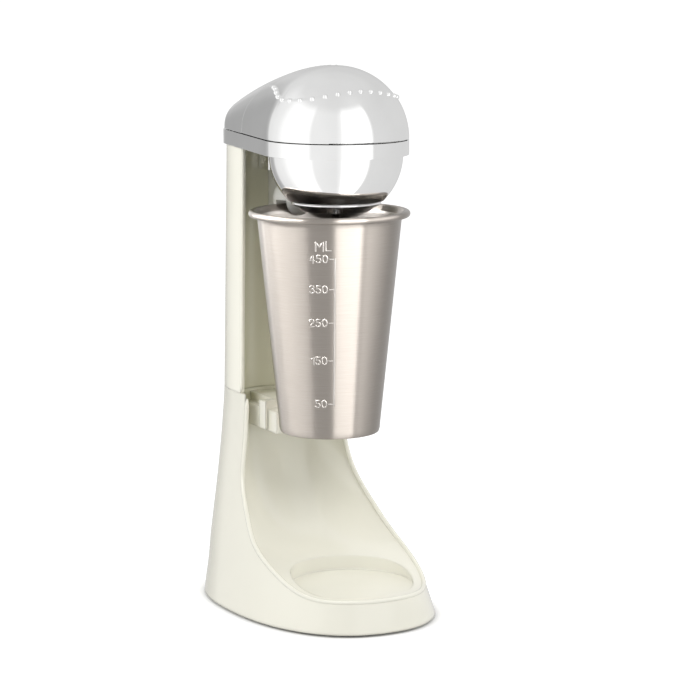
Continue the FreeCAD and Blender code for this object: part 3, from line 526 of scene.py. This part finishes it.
def bowl_profile():
    """Closed (r, z) outline of the bowl: outside, inside, and a rounded edge at its mouth."""
    bowl_low, bowl_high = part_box("motor_bowl")
    low_angle = math.degrees(math.asin((bowl_low.z / MM - BOWL_Z) / BOWL_R))
    high_angle = math.degrees(math.asin((bowl_high.z / MM - BOWL_Z) / BOWL_R))
    line = arc_points((0, BOWL_Z), BOWL_R, low_angle + 0.8, high_angle, 80)
    line += arc_points((0, BOWL_Z), BOWL_R - BOWL_WALL, high_angle, low_angle + 0.6, 60)
    mouth = BOWL_R * math.cos(math.radians(low_angle))
    return line + [(mouth - BOWL_WALL, bowl_low.z / MM), (mouth - 0.5, bowl_low.z / MM)]


lathe("motor_bowl_shell", bowl_profile(), SPINDLE, "chrome", "stand", ("motor_bowl",))

# ---------------------------------------------------------------- cup

CUP_BASE = cup_low.z / MM
CUP_NECK_Z = CUP_BASE + 134.0
CUP_WALL = 0.8
WALL_START = 2.6
INNER_FLOOR = 6.8
FOOT_R = 31.4
NECK_R = 44.9
BEAD_R = 2.0
BEAD = (48.2, cup_high.z / MM - BEAD_R)


def cup_profile():
    """Closed (r, z) outline of the spun cup, from the middle of its bottom, outside, rim, inside."""
    z = CUP_BASE
    outside = rounded([(0.01, z + 6), (FOOT_R - 7, z + 6), (FOOT_R - 4, z + 0.4), (FOOT_R - 2.6, z),
                       (FOOT_R - 0.6, z), (FOOT_R + 0.1, z + WALL_START)], {1: 2, 2: 1.2, 4: 1.2})
    wall = []
    steps = 60
    for step in range(1, steps + 1):
        t = step / steps
        wall.append((FOOT_R + (NECK_R - FOOT_R) * t, z + WALL_START + (CUP_NECK_Z - z - WALL_START) * t))
    flare = [(NECK_R + 0.35, CUP_NECK_Z + 0.9), (NECK_R + 1.0, CUP_NECK_Z + 1.6)]
    roll = arc_points(BEAD, BEAD_R, 238, 520, 30)
    inner = []
    for step in range(steps + 1):
        t = 1 - step / steps
        inner.append((FOOT_R - CUP_WALL + (NECK_R - FOOT_R) * t, z + 3.0 + (CUP_NECK_Z + 1.2 - z - 3.0) * t))
    floor = [(FOOT_R - 2.4, z + 1.0), (FOOT_R - 3.4, z + 1.2), (FOOT_R - 6, z + INNER_FLOOR),
             (0.01, z + INNER_FLOOR)]
    return outside + wall + flare + roll + inner + floor


cup_piece = lathe("mixing_cup_shell", cup_profile(), CUP_AXIS, "cup_steel", "cup", ("mixing_cup",))
cup_piece.data.materials.append(mats["cup_inside"])
for polygon in cup_piece.data.polygons:
    centre = polygon.center
    reach = math.hypot(centre.x - CUP_AXIS.x, centre.y - CUP_AXIS.y)
    inward = (centre.x - CUP_AXIS.x) * polygon.normal.x + (centre.y - CUP_AXIS.y) * polygon.normal.y < 0
    if inward and centre.z < (BEAD[1] - 2) * MM and reach < 0.046:
        polygon.material_index = 1


def wall_radius(z):
    """Outer radius of the cup's wall at a height in mm."""
    t = (z - CUP_BASE - WALL_START) / (CUP_NECK_Z - CUP_BASE - WALL_START)
    return FOOT_R + (NECK_R - FOOT_R) * t


def fill_height(volume):
    """Height in mm at which the cup holds a volume in ml."""
    slice_height = 0.1
    z = CUP_BASE + INNER_FLOOR
    held = 0.0
    while held < volume * 1000:
        held += math.pi * (wall_radius(z) - CUP_WALL) ** 2 * slice_height
        z += slice_height
    return z


# strokes of each sign as (across, up) in shares of its height, and the section of a stamped ridge
GLYPHS = {
    "0": [(0.3, 1), (0.5, 0.9), (0.6, 0.65), (0.6, 0.35), (0.5, 0.1), (0.3, 0), (0.1, 0.1), (0, 0.35),
          (0, 0.65), (0.1, 0.9), (0.3, 1)],
    "1": [(0.12, 0.78), (0.36, 1), (0.36, 0)],
    "2": [(0.02, 0.74), (0.1, 0.92), (0.3, 1), (0.5, 0.92), (0.57, 0.74), (0.5, 0.55), (0.02, 0), (0.6, 0)],
    "3": [(0.03, 0.86), (0.14, 0.97), (0.3, 1), (0.48, 0.95), (0.56, 0.77), (0.48, 0.6), (0.26, 0.54),
          (0.5, 0.46), (0.6, 0.27), (0.5, 0.06), (0.3, 0), (0.12, 0.03), (0, 0.15)],
    "4": [(0.46, 0), (0.46, 1), (0, 0.3), (0.64, 0.3)],
    "5": [(0.56, 1), (0.1, 1), (0.06, 0.56), (0.28, 0.62), (0.5, 0.55), (0.6, 0.33), (0.52, 0.1), (0.3, 0),
          (0.1, 0.04), (0, 0.15)],
    "M": [(0, 0), (0, 1), (0.42, 0.35), (0.84, 1), (0.84, 0)],
    "L": [(0, 1), (0, 0), (0.55, 0)],
}
RIDGE = [(-1, -0.25), (-0.75, 0.1), (-0.4, 0.3), (0, 0.36), (0.4, 0.3), (0.75, 0.1), (1, -0.25)]


def ridge(path, wide, bearing, height, tall=1.0):
    """Raised rounded ridge along a flat path in mm, laid on the cup's wall."""
    fine = []
    for a, b in zip(path[:-1], path[1:]):
        a, b = Vector(a), Vector(b)
        pieces = max(int((b - a).length / 1.5), 1)
        fine += [a.lerp(b, step / pieces) for step in range(pieces)]
    fine.append(Vector(path[-1]))
    rows = []
    for index, here in enumerate(fine):
        before = fine[max(index - 1, 0)]
        after = fine[min(index + 1, len(fine) - 1)]
        run = ((here - before).normalized() + (after - here).normalized()).normalized()
        side = Vector((-run.y, run.x))
        start = -run * wide * 0.4 if index == 0 else Vector((0, 0))
        stop = run * wide * 0.4 if index == len(fine) - 1 else Vector((0, 0))
        row = []
        for across, lift in RIDGE:
            p = here + start + stop + side * (across * wide / 2)
            z = height + p.y
            radius = wall_radius(z)
            angle = bearing + p.x / radius
            r = (radius + (lift * tall if lift > 0 else lift)) * MM
            row.append((CUP_AXIS.x + r * math.sin(angle), CUP_AXIS.y - r * math.cos(angle), z * MM))
        rows.append(row)
    return grid(rows, False)


def letters(text, tall, wide, bearing, height):
    """Ridges of a short text, tall mm high, that ends at the bearing."""
    widths = [max(x for x, _ in GLYPHS[letter]) for letter in text]
    gap = 0.27
    at = -(sum(widths) + gap * (len(text) - 1)) * tall
    made = []
    for letter, width in zip(text, widths):
        path = [(at + x * tall, (y - 0.5) * tall) for x, y in GLYPHS[letter]]
        made.append(ridge(path, wide, bearing, height, 0.7))
        at += (width + gap) * tall
    return made


def build_scale():
    """Volume scale stamped in the cup: a line with ticks, ML, and the numbers 50 to 450."""
    points, faces = [], []
    line = VIEW_BEARING + math.radians(4.6)
    low_z = fill_height(50)
    high_z = fill_height(450)

    def take(made):
        base = len(points)
        points.extend(made[0])
        faces.extend(tuple(v + base for v in quad) for quad in made[1])

    middle = (low_z + high_z) / 2
    reach = (high_z - low_z) / 2
    take(ridge([(0, -reach), (0, reach)], 1.5, line, middle))
    for volume in (50, 150, 250, 350, 450):
        z = fill_height(volume)
        take(ridge([(-3.0, 0), (-0.6, 0)], 1.1, line, z, 0.5))
        for made in letters(str(volume), 4.6, 1.15, line - 4.6 / wall_radius(z), z):
            take(made)
    top = high_z + 8.0
    for made in letters("ML", 5.6, 1.3, line - 2.6 / wall_radius(top), top):
        take(made)
    return make_piece("cup_scale_marks", points, faces, "mark_steel", "cup")


scale_piece = build_scale()

# ---------------------------------------------------------------- rounded rims of the stand and column

# places in mm from the spindle
TRAY = Vector((0, -21, 0))
TRAY_R = 38.4
STAND_MIDDLE = 45
SHARPEST_BEND = math.radians(25)
SHORTEST_RIM = 100


def sharp_rims(node, low, high):
    """Chains of the outer sharp edges of a moulding between two heights, in mm from the spindle."""
    shape = bmesh.new()
    shape.from_mesh(nodes[node].data)
    bmesh.ops.remove_doubles(shape, verts=shape.verts, dist=2e-6)
    links = {}
    for edge in shape.edges:
        if len(edge.link_faces) != 2 or edge.calc_face_angle(0) < SHARPEST_BEND:
            continue
        middle = ((edge.verts[0].co + edge.verts[1].co) / 2 - SPINDLE) / MM
        if not low < middle.z < high:
            continue
        if abs((middle - TRAY).xy.length - TRAY_R) < 1.2:
            continue
        outward = Vector((middle.x, middle.y - STAND_MIDDLE, 0)).normalized()
        normals = [face.normal for face in edge.link_faces]
        skin = max(normal.dot(outward) for normal in normals)
        inner = min(normals, key=lambda normal: normal.dot(outward))
        if skin < 0.45 or inner.z < -0.2 or inner.y > 0.6 or middle.y > 75:
            continue
        a, b = edge.verts
        links.setdefault(a.index, []).append(b.index)
        links.setdefault(b.index, []).append(a.index)
    shape.verts.ensure_lookup_table()
    chains, seen = [], set()
    for start in sorted(links, key=lambda index: len(links[index])):
        if start in seen:
            continue
        chain, here = [start], start
        seen.add(start)
        while True:
            ahead = [index for index in links[here] if index not in seen]
            if not ahead:
                break
            here = ahead[0]
            seen.add(here)
            chain.append(here)
        path = [(shape.verts[index].co - SPINDLE) / MM for index in chain]
        chains.append(path)
    shape.free()
    return [path for path in chains if sum((b - a).length for a, b in zip(path, path[1:])) > SHORTEST_RIM]


def even(path, spacing):
    """The path with points an even distance apart, lightly smoothed."""
    result, carry = [path[0]], 0.0
    for a, b in zip(path, path[1:]):
        length = (b - a).length
        while carry + length >= spacing:
            step = spacing - carry
            a = a.lerp(b, step / length)
            length -= step
            carry = 0.0
            result.append(a)
        carry += length
    for _ in range(4):
        inner = [(p + q * 2 + r) / 4 for p, q, r in zip(result, result[1:], result[2:])]
        result = [result[0]] + inner + [result[-1]]
    return result


def bead(name, path, radius, sink, slot, body):
    """Round bead along a path, sunk a little into the moulding and thinner at its ends."""
    around = 20
    rows = []
    for index, here in enumerate(path):
        run = (path[min(index + 1, len(path) - 1)] - path[max(index - 1, 0)]).normalized()
        inward = Vector((-here.x, STAND_MIDDLE - here.y, -25)).normalized()
        inward = (inward - run * inward.dot(run)).normalized()
        side = run.cross(inward)
        centre = here + inward * sink
        end = min(index, len(path) - 1 - index)
        size = radius * min(0.35 + end * 0.22, 1)
        rows.append([SPINDLE + (centre + inward * (size * math.cos(a)) + side * (size * math.sin(a))) * MM
                     for a in [2 * math.pi * k / around for k in range(around)]])
    points, faces = grid(rows, True)
    return make_piece(name, points, faces, slot, body)


rim_pieces = []
for node, low, high, radius in (("base_housing", 20, 129, 1.5), ("column_front", 131.5, 287, 1.2)):
    for index, path in enumerate(sharp_rims(node, low, high)):
        name = f"{node}_rim_{index}"
        rim_pieces.append(bead(name, even(path, 1.5), radius, radius * 0.62, "stand_plastic", "stand"))

# ---------------------------------------------------------------- stage, light and camera

floor_mesh = bpy.data.meshes.new("studio_floor")
floor_mesh.from_pydata([(-60, -60, 0), (60, -60, 0), (60, 60, 0), (-60, 60, 0)], [], [(0, 1, 2, 3)])
floor_item = bpy.data.objects.new("studio_floor", floor_mesh)
scene.collection.objects.link(floor_item)
floor_shader = Shader("floor_white")
floor_shader.join(floor_shader.mix((0.80, 0.80, 0.795), (0.82, 0.82, 0.815), floor_shader.noise(1.5)),
                  "Color", floor_shader.surface, "Base Color")
floor_shader.set(floor_shader.surface, Roughness=0.9, Specular_IOR_Level=0.1)
seen = floor_shader.add("ShaderNodeLightPath")
glow = floor_shader.add("ShaderNodeMath", operation="MULTIPLY")
floor_shader.join(seen, "Is Camera Ray", glow, 0)
glow.inputs[1].default_value = 0.45
# painted contact shadow: ambient occlusion dims the floor's camera-only glow right next to the object
open_air = floor_shader.add("ShaderNodeAmbientOcclusion", samples=8)
floor_shader.set(open_air, Distance=0.008)
painted_contact_shadow = floor_shader.product(open_air, "AO", open_air, "AO")
lit = floor_shader.product(glow, "Value", painted_contact_shadow, "Value")
floor_shader.join(lit, "Value", floor_shader.surface, "Emission Strength")
floor_shader.set(floor_shader.surface, Emission_Color=(1, 1, 1, 1))
floor_mesh.materials.append(floor_shader.material)
floor_item.visible_glossy = False


def band(tree, source, places):
    """Colour ramp over a 0..1 value from (place, grey) pairs."""
    ramp = tree.nodes.new("ShaderNodeValToRGB")
    ramp.color_ramp.interpolation = "EASE"
    stops = ramp.color_ramp.elements
    while len(stops) > 1:
        stops.remove(stops[-1])
    stops[0].position = places[0][0]
    stops[0].color = (places[0][1],) * 3 + (1,)
    for place, grey in places[1:]:
        stop = stops.new(place)
        stop.color = (grey, grey, grey, 1)
    tree.links.new(source, ramp.inputs["Fac"])
    return ramp


def math_node(tree, operation, *values):
    """Math node whose inputs are numbers or sockets."""
    node = tree.nodes.new("ShaderNodeMath")
    node.operation = operation
    for index, value in enumerate(values):
        if isinstance(value, (int, float)):
            node.inputs[index].default_value = value
        else:
            tree.links.new(value, node.inputs[index])
    return node.outputs["Value"]


def blend(tree, source, start, end, below, above):
    """Colour that goes from below to above while the source value rises from start to end."""
    rise = tree.nodes.new("ShaderNodeMapRange")
    rise.interpolation_type = "SMOOTHSTEP"
    rise.inputs["From Min"].default_value = start
    rise.inputs["From Max"].default_value = end
    tree.links.new(source, rise.inputs["Value"])
    mixer = tree.nodes.new("ShaderNodeMix")
    mixer.data_type = "RGBA"
    tree.links.new(rise.outputs["Result"], mixer.inputs["Factor"])
    for socket, value in (("A", below), ("B", above)):
        colour = [entry for entry in mixer.inputs if entry.name == socket and entry.type == "RGBA"][0]
        if isinstance(value, tuple):
            colour.default_value = value
        else:
            tree.links.new(value, colour)
    return [entry for entry in mixer.outputs if entry.type == "RGBA"][0]


def bearing_stops(pairs):
    """Stops from (degrees right of the camera, grey) pairs."""
    return [((degrees + 180) / 360, grey) for degrees, grey in pairs]


def build_world():
    """White studio: plain for the eye and for matt surfaces, with flags and soft boxes for reflections."""
    world = bpy.data.worlds.new("studio")
    scene.world = world
    world.use_nodes = True
    tree = world.node_tree
    tree.nodes.clear()
    out = tree.nodes.new("ShaderNodeOutputWorld")
    place = tree.nodes.new("ShaderNodeTexCoord")
    split = tree.nodes.new("ShaderNodeSeparateXYZ")
    tree.links.new(place.outputs["Generated"], split.inputs["Vector"])
    # bearing of the ray from the camera's side, growing to the camera's right
    forward = math_node(tree, "MULTIPLY", split.outputs["Y"], -1.0)
    world_bearing = math_node(tree, "ARCTAN2", split.outputs["X"], forward)
    turned = math_node(tree, "SUBTRACT", world_bearing, VIEW_BEARING)
    turns = math_node(tree, "DIVIDE", turned, 2 * math.pi)
    share = math_node(tree, "FRACT", math_node(tree, "ADD", turns, 1.5))
    height = math_node(tree, "DIVIDE", math_node(tree, "ARCSINE", split.outputs["Z"]), math.pi / 2)
    # soft boxes at the left and right of the camera, dark flags behind the left one, softer higher up
    boxes = [(-112, 0.95), (-84, 1.2), (-46, 1.2), (-38, 0.95), (0, 0.92), (6, 1.0), (14, 1.4), (55, 1.4),
             (63, 0.78), (110, 0.74)]
    flags = [(-180, 0.62), (-168, 0.66), (-156, 0.52), (-146, 0.42), (-138, 0.50), (-129, 0.88)]
    side = band(tree, share, bearing_stops(flags + boxes + [(150, 0.72), (180, 0.62)]))
    low = band(tree, share, bearing_stops([(-180, 0.70), (-150, 0.80)] + boxes + [(180, 0.70)]))
    high = band(tree, share, bearing_stops([(-180, 0.76), (-140, 0.80), (-40, 0.84), (0, 0.82), (40, 0.86),
                                            (90, 0.78), (180, 0.76)]))
    walls = blend(tree, height, 0.14, 0.34, side.outputs["Color"], low.outputs["Color"])
    upper = blend(tree, height, 0.42, 0.62, walls, high.outputs["Color"])
    topped = blend(tree, height, 0.58, 0.88, upper, (0.80, 0.80, 0.80, 1))
    mirrored = tree.nodes.new("ShaderNodeBackground")
    tree.links.new(topped, mirrored.inputs["Color"])
    mirrored.inputs["Strength"].default_value = 1.0
    plain = tree.nodes.new("ShaderNodeBackground")
    plain.inputs["Color"].default_value = (1, 1, 1, 1)
    path = tree.nodes.new("ShaderNodeLightPath")
    extra = math_node(tree, "MULTIPLY", path.outputs["Is Camera Ray"], 0.26)
    tree.links.new(math_node(tree, "ADD", extra, 0.78), plain.inputs["Strength"])
    choose = tree.nodes.new("ShaderNodeMixShader")
    tree.links.new(path.outputs["Is Glossy Ray"], choose.inputs["Fac"])
    tree.links.new(plain.outputs["Background"], choose.inputs[1])
    tree.links.new(mirrored.outputs["Background"], choose.inputs[2])
    tree.links.new(choose.outputs["Shader"], out.inputs["Surface"])


build_world()


def soft_box(name, wide, tall, energy, place, direction, top="Y"):
    """Rectangular lamp at a place that shines in a direction."""
    data = bpy.data.lights.new(name, "AREA")
    data.shape = "RECTANGLE"
    data.size = wide
    data.size_y = tall
    data.energy = energy
    lamp = bpy.data.objects.new(name, data)
    scene.collection.objects.link(lamp)
    lamp.location = place
    lamp.rotation_mode = "QUATERNION"
    lamp.rotation_quaternion = direction.to_track_quat("-Z", top)
    return lamp


def linked(name, pieces):
    """Collection of pieces for a lamp's light linking."""
    group = bpy.data.collections.new(name)
    for item in pieces:
        group.objects.link(item)
    return group


def around_camera(bearing):
    """Level direction at a bearing in degrees right of the camera."""
    turn = VIEW_BEARING + math.radians(bearing)
    return Vector((math.sin(turn), -math.cos(turn), 0))


def area_light(name, bearing, height, distance, wide, power, aim):
    """Large soft box aimed at a height over the origin, without a mirror image."""
    place = around_camera(bearing) * distance + Vector((0, 0, height))
    lamp = soft_box(name, wide, wide * 1.2, power, place, Vector((0, 0, aim)) - place)
    lamp.visible_glossy = False


def strip_light(name, bearing_low, bearing_high, tall, strength, distance, pieces):
    """Upright soft box between two bearings right of the camera, which lights only some pieces."""
    outward = around_camera((bearing_low + bearing_high) / 2)
    wide = 2 * distance * math.tan(math.radians((bearing_high - bearing_low) / 2))
    place = CUP_AXIS + outward * distance + Vector((0, 0, tall / 2 + 0.005))
    lamp = soft_box(name, wide, tall, strength * wide * tall * math.pi, place, -outward, "Z")
    lamp.light_linking.receiver_collection = linked(name + "_lit", pieces)


def roof_light(name, bearing, height, distance, size, strength, pieces, blockers=None):
    """Soft box over the front for some pieces: only in their gloss, or soft light that blockers shade."""
    wide, tall = size
    lift = math.radians(height)
    place = SPINDLE + (around_camera(bearing) * math.cos(lift) + Vector((0, 0, math.sin(lift)))) * distance
    aim = SPINDLE + Vector((0, 0, 0.1))
    lamp = soft_box(name, wide, tall, strength * wide * tall * math.pi, place, aim - place)
    lamp.visible_diffuse = blockers is not None
    lamp.visible_glossy = blockers is None
    lamp.light_linking.receiver_collection = linked(name + "_lit", pieces)
    if blockers:
        lamp.light_linking.blocker_collection = linked(name + "_shade", blockers)


area_light("key_box", -62, 1.1, 1.5, 0.9, 9, 0.15)
area_light("fill_box", 96, 0.6, 1.4, 0.8, 5, 0.1)
strips = [(-160, -122, 0.9), (-122, -100, 3.6), (-100, -80, 9.5), (-80, -65, 19.0),
          (12, 57, 5.4), (57, 110, 2.2)]
for number, (start, stop, strength) in enumerate(strips):
    strip_light(f"strip_{number}", start, stop, 1.4, strength, 1.0, [cup_piece, scale_piece])

moulded = [nodes[name] for name in ("base_housing", "column_front", "column_rear", "cup_rest", "cup_guide")]
moulded += rim_pieces
roof_light("rim_box", -25, 58, 1.3, (0.7, 0.34), 6.0, moulded)
column_pieces = [item for item in moulded if item.name.startswith("column_front")]
overhead = moulded + [item for name, item in bpy.data.objects.items() if name in ("head_shell", "head_lower")]
roof_light("column_box", -38, 14, 1.3, (0.6, 0.6), 3.2, column_pieces, overhead)
roof_light("scoop_box", 24, 60, 1.3, (0.6, 0.6), 3.8, moulded, overhead)

camera_data = bpy.data.cameras.new("camera")
camera_data.lens = LENS
camera_data.sensor_width = 36
camera_data.clip_start = 0.05
camera = bpy.data.objects.new("camera", camera_data)
scene.collection.objects.link(camera)
camera.location = SPINDLE + around_camera(0) * VIEW_DISTANCE + Vector((0, 0, VIEW_HEIGHT))
camera.rotation_euler = (math.pi / 2 - VIEW_PITCH, 0, VIEW_BEARING - VIEW_YAW)
scene.camera = camera
